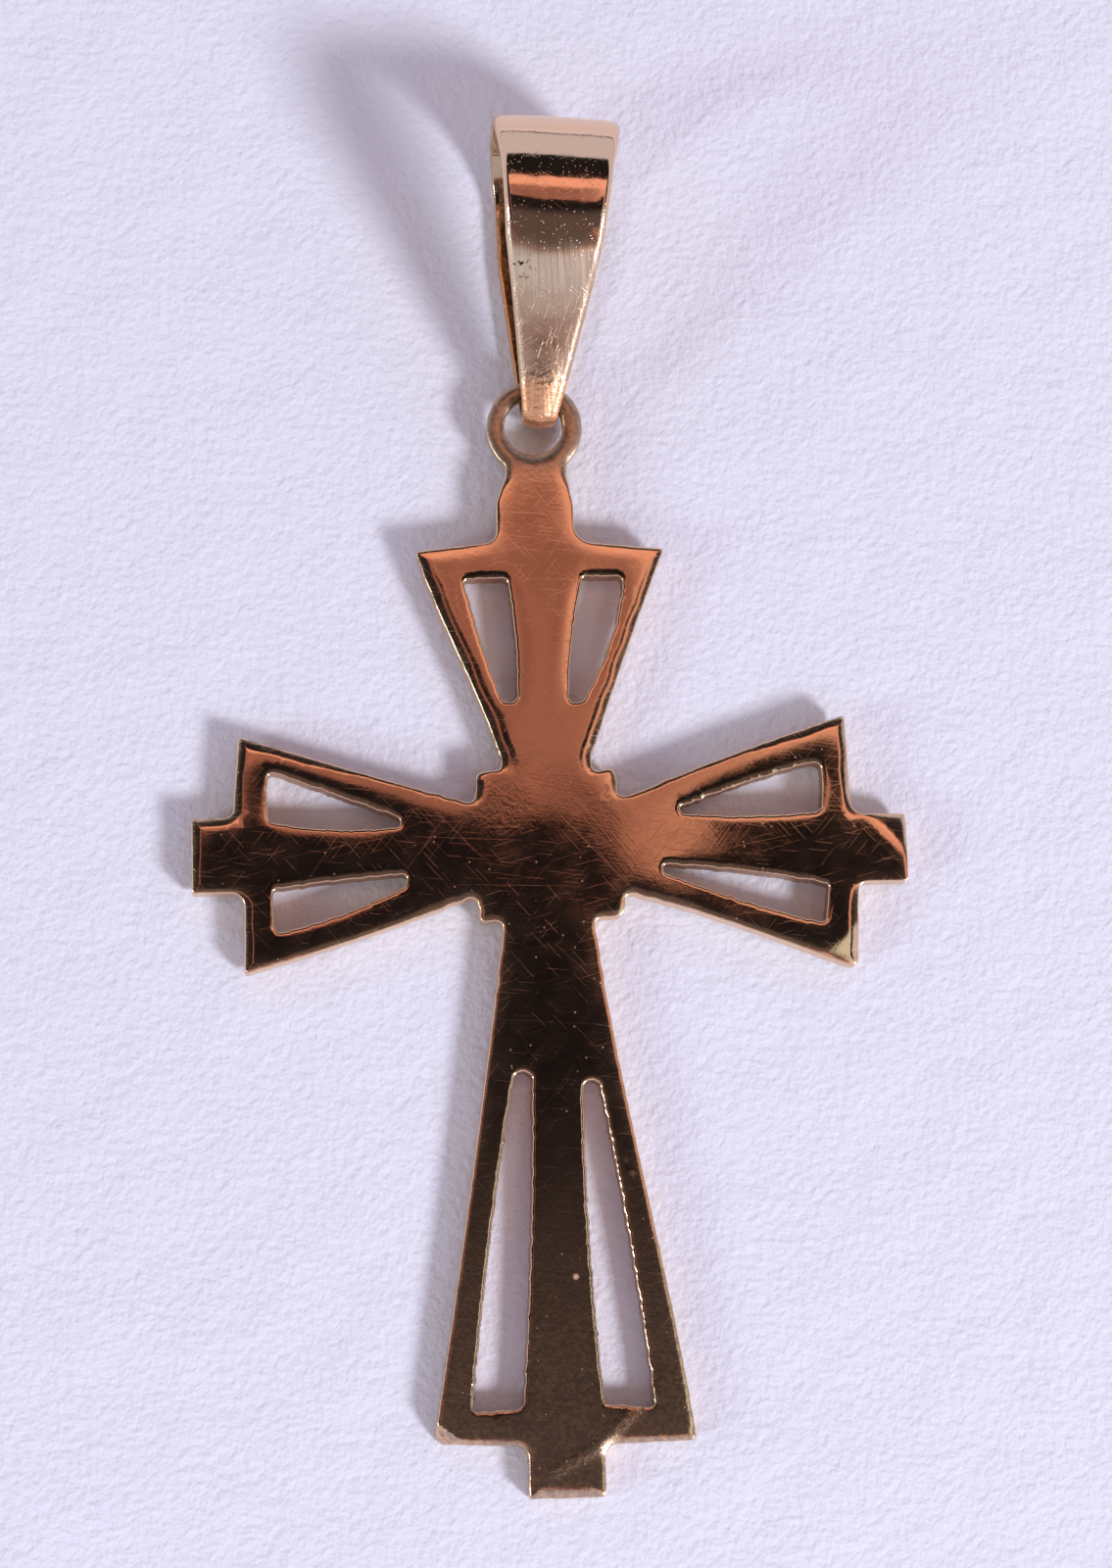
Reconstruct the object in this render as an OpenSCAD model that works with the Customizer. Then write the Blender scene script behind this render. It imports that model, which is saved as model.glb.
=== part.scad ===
// Flat pierced cross pendant with a ring on its top and a folded strap bail, lying on its back.
// Units are millimetres. X runs along the arms, Y up the cross towards the bail, Z up from the table.

/* [Plate] */
// Thickness of the plate
plate_t = 0.8; // [0.6:0.05:1.0]
// Radius of the small inside corners beside the centre block
notch_r = 0.15; // [0.05:0.05:0.2]
// Radius of the centre block's own corners
block_r = 0.2; // [0.05:0.05:0.3]
// Radius of the corners at the ends of the tabs
tab_r = 0.08; // [0.02:0.01:0.2]

/* [Ring] */
// Distance from the cross centre up to the middle of the ring
ring_y = 15.5; // [15.3:0.1:15.8]
// Sideways place of the ring, left of the centre line
ring_x = -0.1; // [-0.2:0.05:0.2]
// Outer diameter of the ring
ring_d = 3.5; // [3.3:0.1:3.8]
// Diameter of the hole that the bail passes through
hole_d = 2.15; // [2.0:0.05:2.3]
// Width of the bevel round both mouths of that hole
mouth_edge = 0.2; // [0.15:0.05:0.25]

/* [Bail] */
// Length of the folded bail, from its narrow tip to its round end
bail_len = 10.95; // [10.5:0.05:12]
// Depth of the loop at its round end
bail_depth = 6; // [5.4:0.1:6.4]
// Depth of the loop at its narrow tip
tip_depth = 2; // [1.9:0.05:2.3]
// Thickness of the strap
strap_t = 0.4; // [0.3:0.05:0.45]
// How far the strap's tip reaches into the ring, below the upper edge of its hole
tip_reach = 1.15; // [1.0:0.05:1.3]
// Sideways place of the tip, right of the middle of the hole
tip_offset = 0.2; // [0:0.05:0.2]
// Turn of the bail to the right, seen from above, in degrees
bail_turn = 3.8; // [0:0.2:6]
// Height of the gap between the strap and the ring that lies on it
rest_gap = 0.06; // [0.05:0.01:0.1]

/* [Hidden] */
$fn = 96;

// Turns of the limbs: right arm, top limb, left arm, lower limb. Each limb has its own frame, s outwards
// along it and w to the left of that direction.
TURN = [0, 90, 180, 270];

// Corners of the centre block, going round from the upper right one: x, y.
BLOCK = [[2.60, 2.90], [-2.50, 2.93], [-2.47, -2.50], [2.77, -2.42]];

// Flanks of the limbs, two to a limb. The hand is -1 on the right of the outward direction, +1 on the left.
// Widths are measured from the limb's middle line: at the root, at one third, two thirds and at the tip.
// limb, hand, w_root, w_third, w_two_thirds, w_tip, s_tip, tip_r, s_end, tab_w, s_tab, fillet_r
FLANKS = [
    [0, -1, 1.62, 2.44, 3.43, 4.47, 11.20, 0.25, 11.28, 1.33, 13.10, 0.35],
    [0, 1, 1.93, 2.97, 3.90, 4.75, 10.95, 0.06, 11.10, 1.14, 13.10, 0.45],
    [1, -1, 1.67, 2.57, 3.53, 4.53, 10.97, 0.06, 11.28, 1.26, 12.60, 0.70],
    [1, 1, 1.57, 2.50, 3.59, 4.53, 10.99, 0.06, 11.30, 1.56, 12.75, 0.45],
    [2, -1, 1.85, 2.64, 3.48, 4.33, 11.02, 0.06, 11.27, 1.40, 12.75, 0.35],
    [2, 1, 1.66, 2.61, 3.46, 4.22, 10.92, 0.12, 10.87, 1.30, 12.75, 0.50],
    [3, -1, 1.62, 2.50, 3.45, 4.46, 20.95, 0.35, 21.12, 1.12, 22.97, 0.40],
    [3, 1, 1.70, 2.67, 3.85, 4.88, 21.06, 0.12, 21.12, 1.60, 22.97, 0.45]
];
// Length of the straight start of every flank, beside the centre block
root_run = 0.4;

// The neck between the stem and the ring, in the top limb's frame: s, w, corner radius.
NECK = [[13.70, -1.05, 0.4], [15.0, -1.05, 0], [15.0, 1.20, 0], [13.72, 1.20, 0.4]];

// Windows, two to a limb. The near side faces the limb's middle line, and each side is a curve through
// three widths: at the inner end, half way and at the outer end.
// limb, hand, s_in, s_out, near_in, near_mid, near_out, far_in, far_mid, far_out, skew, r_in, r_out
WINDOWS = [
    [0, -1, 4.20, 10.20, 0.55, 0.86, 1.38, 0.85, 1.93, 2.80, -0.15, 0.12, 0.20],
    [0, 1, 4.85, 10.05, 1.28, 1.15, 1.27, 1.50, 2.40, 3.12, 0, 0.10, 0.30],
    [1, -1, 5.37, 10.00, 0.93, 1.12, 1.54, 1.40, 2.50, 3.03, -0.05, 0.20, 0.20],
    [1, 1, 5.45, 9.95, 0.95, 0.97, 1.22, 1.48, 2.21, 2.80, 0, 0.20, 0.10],
    [2, -1, 5.25, 10.02, 0.98, 0.92, 1.24, 1.30, 2.19, 3.10, 0, 0.14, 0.28],
    [2, 1, 5.05, 9.85, 0.74, 0.93, 1.20, 1.16, 2.15, 2.78, 0, 0.18, 0.20],
    [3, -1, 7.92, 19.80, 0.71, 0.88, 1.28, 1.32, 2.33, 3.08, 0.10, 0.24, 0.20],
    [3, 1, 8.28, 19.72, 1.13, 1.23, 1.64, 1.70, 2.68, 3.42, 0.16, 0.24, 0.15]
];

// Half widths of the strap, seen from above: distance from the tip, half width.
// The last row is the round end itself.
STRAP = [[0, 0.58], [6.0, 1.75], [8.6, 2.0], [10.3, 2.3], [bail_len, 2.28]];
// Radius of the strap's corners at its tip and at its round end
strap_tip_r = 0.3;
strap_end_r = 0.15;

// Places worked out from the sizes above
// The hole was drilled a little off the middle of the ring
hole_x = ring_x - 0.03;
hole_y = ring_y + 0.07;
tip_x = hole_x + tip_offset;
tip_y = hole_y + hole_d / 2 - tip_reach;
big_r = bail_depth / 2;
small_r = tip_depth / 2;
left_end = FLANKS[4][10];
right_end = FLANKS[0][10];
foot_end = FLANKS[6][10];
bail_top = tip_y + bail_len * cos(bail_turn) + (STRAP[4][1] - strap_end_r) * sin(bail_turn);
shift_x = (left_end - right_end) / 2;
shift_y = (foot_end - bail_top) / 2;
// The plate's foot lies on the table and its ring on the strap, so the plate slopes a little
ring_rise = strap_t + rest_gap;
slope = asin(ring_rise / (hole_y + hole_d / 2 + foot_end));

flank_steps = 8;
window_steps = 8;
arc_steps = 5;

function flat(p) = [p[0], p[1]];
function unit(v) = v / norm(v);

// Value at t of the curve through three values at 0, 1/2 and 1
function through3(a, b, c, t) = a * (1 - t) * (1 - 2 * t) + 4 * b * t * (1 - t) + c * t * (2 * t - 1);

// Value at t of the curve through four values at 0, 1/3, 2/3 and 1
function through4(a, b, c, d, t) =
    a * (1 - 3 * t) * (2 - 3 * t) * (1 - t) / 2 + 9 * b * t * (2 - 3 * t) * (1 - t) / 2
    - 9 * c * t * (1 - 3 * t) * (1 - t) / 2 + d * t * (1 - 3 * t) * (2 - 3 * t) / 2;

// Arc that rounds the corner p = [x, y, radius] between its neighbours a and c
function rounded(a, p, c) =
    let (
        to_a = unit(flat(a) - flat(p)),
        to_c = unit(flat(c) - flat(p)),
        half = acos(max(-1, min(1, to_a * to_c))) / 2,
        reach = min(p[2] / tan(half), 0.48 * norm(flat(a) - flat(p)), 0.48 * norm(flat(c) - flat(p))),
        r = reach * tan(half),
        centre = flat(p) + unit(to_a + to_c) * r / sin(half),
        from = flat(p) + to_a * reach - centre,
        to = flat(p) + to_c * reach - centre,
        start = atan2(from[1], from[0]),
        sweep = (atan2(to[1], to[0]) - start + 900) % 360 - 180
    )
    [
        for (k = [0 : arc_steps])
            let (turn = start + sweep * k / arc_steps)
            centre + r * [cos(turn), sin(turn)]
    ];

// Closed outline whose points are [x, y, corner radius]
function outline(p) =
    let (n = len(p))
    [for (i = [0 : n - 1]) each p[i][2] > 0 ? rounded(p[(i + n - 1) % n], p[i], p[(i + 1) % n]) : [flat(p[i])]];

function reversed(list) = [for (i = [len(list) - 1 : -1 : 0]) list[i]];

// From a limb's frame to the plate's frame
function placed(limb, p) =
    [p[0] * cos(TURN[limb]) - p[1] * sin(TURN[limb]), p[0] * sin(TURN[limb]) + p[1] * cos(TURN[limb]), p[2]];

// How far out the centre block reaches beside a flank
function block_reach(limb, hand) =
    let (corner = BLOCK[(limb + (hand < 0 ? 3 : 0)) % 4])
    limb % 2 == 0 ? abs(corner[0]) : abs(corner[1]);

// Points of one flank, from the centre block out to the end of the tab
function flank(row) =
    let (
        hand = row[1],
        start = block_reach(row[0], hand),
        root = start + root_run,
        tip = row[6]
    )
    [
        [start, hand * row[2], notch_r],
        for (k = [0 : flank_steps - 1])
            [
                root + (tip - root) * k / flank_steps,
                hand * through4(row[2], row[3], row[4], row[5], k / flank_steps),
                0
            ],
        [tip, hand * row[5], row[7]],
        [row[8], hand * row[9], row[11]],
        [row[10], hand * row[9], tab_r]
    ];

function limb_points(limb) =
    let (
        right = flank(FLANKS[2 * limb]),
        left = flank(FLANKS[2 * limb + 1]),
        middle = limb == 1 ? NECK : []
    )
    [for (p = concat(right, middle, reversed(left))) placed(limb, p)];

function plate_points() =
    outline([
        for (limb = [0 : 3])
            each concat(limb_points(limb), [[BLOCK[limb][0], BLOCK[limb][1], block_r]])
    ]);

function window_points(row) =
    let (
        hand = row[1],
        s_in = row[2],
        run = row[3] - row[2],
        near = [
            for (k = [0 : window_steps])
                let (t = k / window_steps)
                [s_in + run * t, hand * through3(row[4], row[5], row[6], t),
                    k == 0 ? row[11] : k == window_steps ? row[12] : 0]
        ],
        far = [
            for (k = [0 : window_steps])
                let (t = k / window_steps)
                [s_in + (run + row[10]) * t, hand * through3(row[7], row[8], row[9], t),
                    k == 0 ? row[11] : k == window_steps ? row[12] : 0]
        ]
    )
    outline([for (p = concat(near, reversed(far))) placed(row[0], p)]);

// Places a child of the plate's own frame on the table, with the slope that the strap gives it
module lay_plate() {
    translate([shift_x, shift_y, 0])
        translate([0, -foot_end, 0])
            rotate([slope, 0, 0])
                translate([0, foot_end, 0])
                    children();
}

// Cuts the ring's hole, with a bevel at each mouth
module ring_hole() {
    past = 0.1;
    translate([hole_x, hole_y, -1]) cylinder(d = hole_d, h = plate_t + 2);
    for (face = [0, 1])
        translate([hole_x, hole_y, face * plate_t])
            mirror([0, 0, face])
                translate([0, 0, -past])
                    cylinder(d1 = hole_d + 2 * (mouth_edge + past), d2 = hole_d, h = mouth_edge + past);
}

module cross() {
    color("#c98a62")
        lay_plate()
            difference() {
                union() {
                    linear_extrude(plate_t) polygon(plate_points());
                    translate([ring_x, ring_y, 0]) cylinder(d = ring_d, h = plate_t);
                }
                for (row = WINDOWS)
                    translate([0, 0, -1]) linear_extrude(plate_t + 2) polygon(window_points(row));
                ring_hole();
            }
}

// Side view of the loop inside a wall of thickness t: x is the distance from the tip, y the height
module loop_profile(t) {
    far = bail_len - big_r;
    lean = 2 * atan2(big_r - small_r, far - small_r);
    translate([small_r, small_r]) circle(r = small_r - t);
    translate([far, big_r]) circle(r = big_r - t);
    polygon([
        [small_r, t],
        [far, t],
        [far - (big_r - t) * sin(lean), big_r + (big_r - t) * cos(lean)],
        [small_r - (small_r - t) * sin(lean), small_r + (small_r - t) * cos(lean)]
    ]);
}

function strap_side(hand) =
    [for (i = [0 : 4]) [hand * STRAP[i][1], STRAP[i][0], i == 0 ? strap_tip_r : i == 4 ? strap_end_r : 0]];

module bail() {
    wide = 3 * STRAP[4][1];
    color("#d8a27c")
        translate([tip_x + shift_x, tip_y + shift_y, 0])
            rotate([0, 0, -bail_turn])
                intersection() {
                    translate([wide / 2, 0, 0])
                        rotate([90, 0, -90])
                            mirror([1, 0, 0])
                                linear_extrude(wide)
                                    difference() {
                                        loop_profile(0);
                                        loop_profile(strap_t);
                                    }
                    translate([0, 0, -1])
                        linear_extrude(bail_depth + 2)
                            polygon(outline(concat(strap_side(1), reversed(strap_side(-1)))));
                }
}

cross();
bail();
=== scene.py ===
from math import atan2, cos, pi, radians, sin, tan
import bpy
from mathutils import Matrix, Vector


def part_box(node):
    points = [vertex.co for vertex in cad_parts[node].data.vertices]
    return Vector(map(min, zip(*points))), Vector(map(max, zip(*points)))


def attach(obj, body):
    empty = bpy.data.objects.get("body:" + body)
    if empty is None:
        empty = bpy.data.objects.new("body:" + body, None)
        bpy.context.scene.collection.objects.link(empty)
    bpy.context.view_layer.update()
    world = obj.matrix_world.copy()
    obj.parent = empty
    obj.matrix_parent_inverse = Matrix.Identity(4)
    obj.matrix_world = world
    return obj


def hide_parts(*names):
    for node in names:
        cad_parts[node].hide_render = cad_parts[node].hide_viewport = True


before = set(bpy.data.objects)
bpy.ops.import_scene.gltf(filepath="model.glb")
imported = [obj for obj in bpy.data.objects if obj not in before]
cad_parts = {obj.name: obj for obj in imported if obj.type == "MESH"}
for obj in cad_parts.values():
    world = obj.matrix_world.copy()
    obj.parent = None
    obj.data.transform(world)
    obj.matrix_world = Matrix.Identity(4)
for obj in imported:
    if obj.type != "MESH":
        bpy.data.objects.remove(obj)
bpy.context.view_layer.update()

from types import SimpleNamespace

import bpy
import numpy as np
from mathutils import Matrix, Vector
from mathutils.geometry import delaunay_2d_cdt
from mathutils.kdtree import KDTree

MM = 0.001

# View of the photograph, in millimetres in the row frame
PHOTO_EYE = (-6.00, -11.63, 116.07)
PHOTO_AIM = (0.27, 0.72, 0.0)
PHOTO_UP = (0.0236, 0.9997, 0.0)
PHOTO_FOV_DEG = 27.47

# The plate's edges: width of the polished roll in millimetres, its tilt at the wall in degrees,
# and how suddenly it begins
LIMB_ROLL = (0.13, 10.0, 1.5)
ARM_ROLL = (0.34, 17.0, 2.2)
UPPER_ROLL = (0.56, 17.0, 1.6)
FOOT_ROLL = (0.36, 17.0, 1.0)
RING_ROLL = (0.46, 24.0, 0.8)
STUB_ROLL = (0.58, 18.5, 1.0)
WINDOW_ROLL = (0.11, 23.0, 1.0)
BACK_ROLL = (0.10, 30.0, 1.0)

# The tight lip at the wall, its steepest tilt, and the reach of the duller rim
LIP = 0.040
LIP_STEEPEST_DEG = 86
RIM_REACH = 0.35

# Parts of the cross as the ends of soft steps: up from the foot's end, out from the upright line, or out
# from the middle of the ring's hole
UPPER_LIMB = (19.0, 25.0)
NECK = (33.6, 34.4)
FOOT_FLARE = (1.9, 2.6)
STUB = (0.9, 1.3)
STUB_SIDES = (1.0, 1.9)
DULL_FOOT = (3.0, 14.0)
ARM = (6.2, 10.5)
RIGHT_TAB = (10.8, 11.3)
RING = (1.9, 2.7)
DULL_RING = (1.3, 2.6)
PAST_RING = (1.9, 3.0)

# Rows of points on the face by their distance from the outline, how many of them are dense, and the
# spacings of the outline and of the net inside
FACE_ROWS = (0.007, 0.014, 0.024, 0.05, 0.09, 0.14, 0.20, 0.28, 0.37, 0.48, 0.60)
DENSE_ROWS = 8
OUTLINE_STEP = 0.095
INNER_STEP = 0.24
INNER_SCATTER = 0.04

# Rounding of the outline's corners, depth of the saw's waves and teeth in the windows and elsewhere, and
# the longest and shortest of each
CORNER_ROUND = 0.035
WINDOW_SAWING = (0.011, 0.009)
OTHER_SAWING = (0.004, 0.002)
SAW_WAVES = (2.4, 0.6)
SAW_TEETH = (0.6, 0.2)

# The hand-cut notches round the middle: where they are, how round their corners are and how uneven
NOTCH_MIDDLE = (0.2, -2.1)
NOTCH_REACH = (5.2, 5.8)
NOTCH_ROUND = 0.11
NOTCH_UNEVEN = 0.011

# The sawn walls: steps down them, depth of their pits, and how far the saw leaned over the thickness
WALL_ROWS = 5
WALL_PIT = 0.004
SAW_LEAN = (-0.03, -0.08)

# Pillow of the polished face: how far the sheet falls at an edge, and how far in from it
PILLOW_DROP = 0.12
PILLOW_REACH = 0.45

# Between the arms' windows the pillow is flatter: the share left, and where that is, up or down and out
# from the middle
ARM_PILLOW = 0.5
ARM_STEM = (1.2, 1.9)
ARM_START = (2.6, 3.6)

# Waves of the polished face: mean slope and lengths, and the lengths over which the rolls' width varies
WAVE_SLOPE = 0.0032
WAVE_LENGTH = (2.5, 9.0)
UNEVEN_LENGTH = (1.2, 5.0)
GRID_STEP = 0.08
GRID_MARGIN = 2.0

# Marks of use on the face: small pits and bumps (x, y, reach across and along, height), corners that fall
# or, with a negative angle, rise (two points on the line where each begins, degrees, softness, reach), a
# pit, a crumpled patch and a line of smeared metal
DENTS = (
    (2.61, -13.33, 0.07, 0.05, 0.016),
    (2.45, -13.05, 0.05, 0.07, -0.012),
    (-2.05, 2.20, 0.30, 0.20, 0.010),
)
FALLEN_CORNERS = (
    ((-4.75, -21.85), (-3.55, -22.78), 37.0, 0.02, 1.6),
    ((9.35, -5.90), (10.65, -4.90), 9.0, 0.16, 2.4),
    ((12.75, -2.00), (11.20, -0.35), 16.5, 0.17, 2.1),
    ((10.00, -5.75), (11.20, -5.75), -9.0, 0.10, 1.3),
)
PIT = ((0.52, -17.02, 0.0), 0.17)
CRUMPLED = ((-1.7, -0.2, 0.0), 1.6)
SMEAR = ((-0.44, -23.91), (1.14, -23.10), (2.20, -22.11), (3.20, -21.28))
SMEAR_HEIGHT = 0.010
SMEAR_REACH = 0.16

# The bail's strap, in millimetres. OFF_LEG marks the places that aren't on its front leg.
BAIL_TURN_DEG = 3.8
STRAP_T = 0.4
TIP_R = 1.0
HALF_WIDTHS = ((0, 0.58), (6.0, 1.75), (8.6, 2.0), (10.3, 2.3), (10.95, 2.28))
TIP_CORNER = 0.3
END_CORNER = 0.15
EDGE_WIDE = 0.30
EDGE_DEEP = 0.21
INNER_R = 0.08
FRONT_SHIFT = 0.13
STRAP_WAVE = 0.004
STRAP_CROWN = 0.02
EDGE_CROWN = 0.012
FRONT_RISE = (0.8, 2.0)
OFF_LEG = 20.0

# Points round the strap's path (round end, tip, back leg, front leg) and round its section
PATH_STEPS = (220, 60, 100, 110)
FLAT_POINTS = 31
CORNER_POINTS = 9

# Bends of the bail's front leg: distance from the tip, and degrees steeper than straight
LEG_BENDS = (
    *((0.0, 3.0), (0.9, 3.0), (1.6, -4.0), (2.6, -5.0), (3.8, 2.0)),
    *((4.8, 7.0), (5.3, 4.0), (5.8, -6.5), (6.8, -4.0), (7.9, 0.0)),
)

# The chipped patch on the bail's front leg and its reach
BAIL_CHIPS = ((-0.70, 18.82, 0.0), 0.60)

# Families of long scratches on the plate: direction in degrees, distance apart in millimetres
LONG_SCRATCHES = ((4, 0.8), (-9, 1.2), (48, 1.1), (127, 1.3))
FINE_SCRATCHES = ((8, 0.15), (-14, 0.18), (50, 0.17), (131, 0.19))
BAIL_SCRATCHES = ((-25, 0.12), (38, 0.10), (112, 0.13))
CLOTH_LINES_DEG = (12, 52, 128)

# Share of each mark in the plate's relief in millimetres, in its grain and in its roughness
PLATE_RELIEF = dict(dots=-0.0040, deep=-0.0007, fine=-0.0005, pit=-0.004)
PLATE_GRAIN = dict(dull=0.013, foot=0.005, rim=0.004, smear=0.028, crumpled=0.010, everywhere=0.0005)
PLATE_WEAR = dict(dots=0.3, polish=1.0, dull=0.19, deep=0.18, fine=0.25, rim=0.13, smear=0.15, pit=0.8)

# The same for the bail
BAIL_RELIEF = dict(pits=-0.02, dented=0.010, dots=-0.0034, combing=0.012, crumpling=0.05)
BAIL_WEAR = dict(rubbed=1.0, dots=0.40, brushed=0.14, worn_tip=0.10, uneven=0.10, everywhere=0.04)

# Colours of the metal, of the painted shade inside the bail's loop and on the windows' walls, and of what
# the metal reflects, as linear red, green and blue
GOLD = (0.86, 0.56, 0.34)
BAIL_GOLD = (0.88, 0.595, 0.38)
BRUSHED_GOLD = (0.85, 0.655, 0.43)
SCORED_GOLD = (0.66, 0.455, 0.29)
WORN_GOLD = (0.92, 0.48, 0.25)
# Painted shade: the gold of the strap's inner face, darkened for the shade inside the loop
INSIDE_PAINTED_SHADE = (0.62, 0.44, 0.26)
TARNISH = (0.54, 0.38, 0.26)
SAWN_GOLD = (0.82, 0.60, 0.42)
# Painted shade: the gold of the windows' walls, darkened for the shade in the windows
SLOT_PAINTED_SHADE = (0.50, 0.31, 0.20)
RING_BROWN = (0.40, 0.29, 0.20)
WALLS = (0.63, 0.66, 0.86)
AMBIENT = (0.875, 0.86, 1.29)
HORIZON = (0.08, 0.07, 0.08)
DARK = (0.010, 0.009, 0.012)
LOW_DARK = (0.106, 0.087, 0.095)
WARM = (0.46, 0.215, 0.190)
WARM_SHADE = (0.29, 0.135, 0.12)
WARM_RIGHT = (0.80, 0.45, 0.38)
WARM_TOP = (1.02, 0.54, 0.45)
OLIVE = (0.715, 0.823, 0.83)
BACKDROP = (0.72, 0.69, 0.87)

# Surroundings, in millimetres over the table: cards that the metal reflects, and the floor
ARCH_RADIUS = 128
ARCH_PAST = 0.80
ARCH_HEIGHT = 101
WARM_CARD = (-53, 72, -92, 50)
WARM_HEIGHT = 100.5
PALE_SCREEN = ((50, -14), (50, -24), (42, -24), (42, -60), (80, -60), (80, -14))
PALE_HEIGHT = 100
FLOOR = (-1500, 1500, -1500, 1500)
FLOOR_HEIGHT = -0.02
FLOOR_COLOUR = (0.865, 0.855, 0.845)

# Lamps: direction from the piece, distance and size in millimetres, power in watts, and colour
KEY_LAMP = ((1.28, -1.05, 1.0), 1500, 340, 20.8, (0.80, 0.83, 1.0))
FILL_LAMP = ((-2.0, -0.75, 0.8), 800, 180, 1.45, (0.80, 0.97, 1.0))


def smoothstep(low, high, x):
    t = np.clip((x - low) / (high - low), 0, 1)
    return t * t * (3 - 2 * t)


def lengths(vectors):
    return np.linalg.norm(vectors, axis=1)


class PlateFrame:
    """The sloping plate's own axes, from the end of its foot, and its flat top."""

    def __init__(self, node):
        mesh = node.data
        areas = np.array([p.area for p in mesh.polygons])
        normals = np.array([p.normal for p in mesh.polygons])
        top = normals[:, 2] > 0.99
        up = (normals[top] * areas[top, None]).sum(0)
        self.up = up / np.linalg.norm(up)
        self.across = np.array([1.0, 0.0, 0.0])
        self.along = np.cross(self.up, self.across)
        self.points = np.array([v.co for v in mesh.vertices]) / MM
        self.foot = self.points[self.points[:, 2].argmin()].copy()
        self.foot[0] = 0.0
        self.triangles = [tuple(p.vertices) for p, flat in zip(mesh.polygons, top) if flat]

    def to_local(self, points):
        away = np.asarray(points) - self.foot
        return np.stack([away @ self.across, away @ self.along, away @ self.up], 1)

    def flat_place(self, x, y):
        return self.to_local([(x, y, self.foot[2])])[0, :2]

    def turn_to_row(self, vectors):
        return vectors @ np.array([self.across, self.along, self.up])


def boundary_loops(triangles, points):
    """Closed loops of the edges that only one face of the flat top has."""
    keys = {}
    index = [keys.setdefault(tuple(np.round(p, 4)), len(keys)) for p in points]
    places = np.zeros((len(keys), 2))
    for vertex, key in enumerate(index):
        places[key] = points[vertex]
    edges = {}
    for face in triangles:
        corners = [index[v] for v in face]
        for a, b in zip(corners, corners[1:] + corners[:1]):
            if not edges.pop((b, a), False):
                edges[(a, b)] = True
    follows = dict(edges.keys())
    loops = []
    while follows:
        start, here = follows.popitem()
        loop = [start]
        while here != start:
            loop.append(here)
            here = follows.pop(here)
        loops.append(places[loop])
    return loops


def loop_area(loop):
    x, y = loop.T
    return 0.5 * np.sum(x * np.roll(y, -1) - y * np.roll(x, -1))


def resample(loop, step):
    closed = np.vstack([loop, loop[:1]])
    run = np.concatenate([[0], np.cumsum(lengths(np.diff(closed, axis=0)))])
    count = max(16, int(round(run[-1] / step)))
    at = np.arange(count) * run[-1] / count
    return np.stack([np.interp(at, run, axis) for axis in closed.T], 1)


def ring_filter(values, step, longest, shortest):
    """The waves between two lengths in a closed row of values, scaled to 1 rms."""
    waves = np.fft.rfft(values)
    frequency = np.fft.rfftfreq(len(values), step)
    waves[(frequency < 1 / longest) | (frequency > 1 / shortest)] = 0
    kept = np.fft.irfft(waves, len(values))
    return kept / (kept.std() + 1e-9)


def smooth_loop(loop, reach):
    """Rounds a closed row of points by a Gaussian of that reach."""
    frequency = np.fft.rfftfreq(len(loop), spacing(loop))
    fade = np.exp(-2 * (pi * frequency * reach) ** 2)
    return np.stack([np.fft.irfft(np.fft.rfft(axis) * fade, len(loop)) for axis in loop.T], 1)


def spacing(loop):
    return lengths(np.roll(loop, -1, axis=0) - loop).mean()


def inward_normals(loop):
    """The metal lies on the left of every loop."""
    ahead = np.roll(loop, -1, axis=0) - np.roll(loop, 1, axis=0)
    ahead /= lengths(ahead)[:, None]
    return np.stack([-ahead[:, 1], ahead[:, 0]], 1)


def sawn(loop, rng, coarse, fine):
    """A loop as a hand saw and file leave it: slow waves and small teeth marks."""
    waves = coarse * ring_filter(rng.standard_normal(len(loop)), spacing(loop), *SAW_WAVES)
    teeth = fine * ring_filter(rng.standard_normal(len(loop)), spacing(loop), *SAW_TEETH)
    return loop + inward_normals(loop) * (np.clip(waves, -2 * coarse, 2 * coarse) + teeth)[:, None]


def find_hole(loops):
    """Which loop is the round hole: its points are the most evenly far from their middle."""
    spread = [lengths(loop - loop.mean(0)).std() for loop in loops]
    return min(range(1, len(loops)), key=lambda i: spread[i])


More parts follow.
